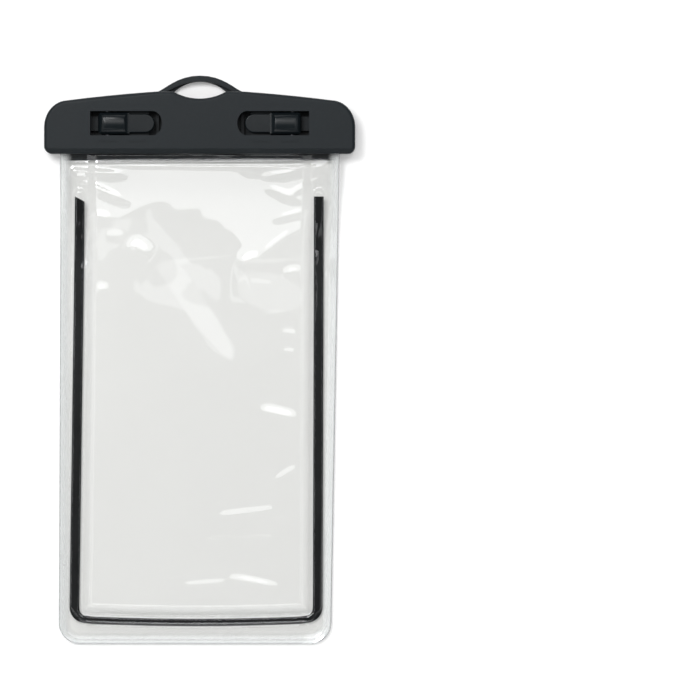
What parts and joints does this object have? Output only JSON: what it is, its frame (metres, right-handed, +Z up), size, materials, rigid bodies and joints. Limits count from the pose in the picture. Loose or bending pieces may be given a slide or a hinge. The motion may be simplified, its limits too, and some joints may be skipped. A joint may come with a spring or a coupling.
{
  "type": "waterproof phone pouch",
  "caption": "Clear film pouch for a phone, with a raised front panel, an edge strip and a moulded clamp that pinches its mouth shut under locking levers, and a carry loop.",
  "frame": {"origin": "on the table, under the middle of the pouch's length and width", "axes": "+X across the pouch, +Y from the foot of the bag to the carry loop, +Z up through the front of the pouch"},
  "size_m": [0.124, 0.227, 0.0115],
  "materials": {
    "clamp": "satin charcoal moulded plastic",
    "lever": "smooth charcoal moulded plastic",
    "pin": "drawn steel pin",
    "gasket": "soft pale sealing rubber",
    "film": "clear glossy soft film",
    "strip": "black glossy band under clear film"
  },
  "bodies": {
    "pouch": {"back_jaw": "clamp", "front_jaw": "clamp", "pivot_pin_left": "pin", "pivot_pin_right": "pin", "back_gasket": "gasket", "front_gasket": "gasket", "back_film": "film", "front_film": "film", "edge_strip": "strip"},
    "left_lever": {"lever_left": "lever"},
    "right_lever": {"lever_right": "lever"}
  },
  "joints": [
    {"name": "left_lever_hinge", "type": "hinge", "parent": "pouch", "child": "left_lever", "pos_m": [-0.0369, 0.09425, 0.0076], "axis": [0, -1, 0], "range_deg": [0, 95]},
    {"name": "right_lever_hinge", "type": "hinge", "parent": "pouch", "child": "right_lever", "pos_m": [0.0369, 0.09425, 0.0076], "axis": [0, 1, 0], "range_deg": [0, 95]}
  ]
}
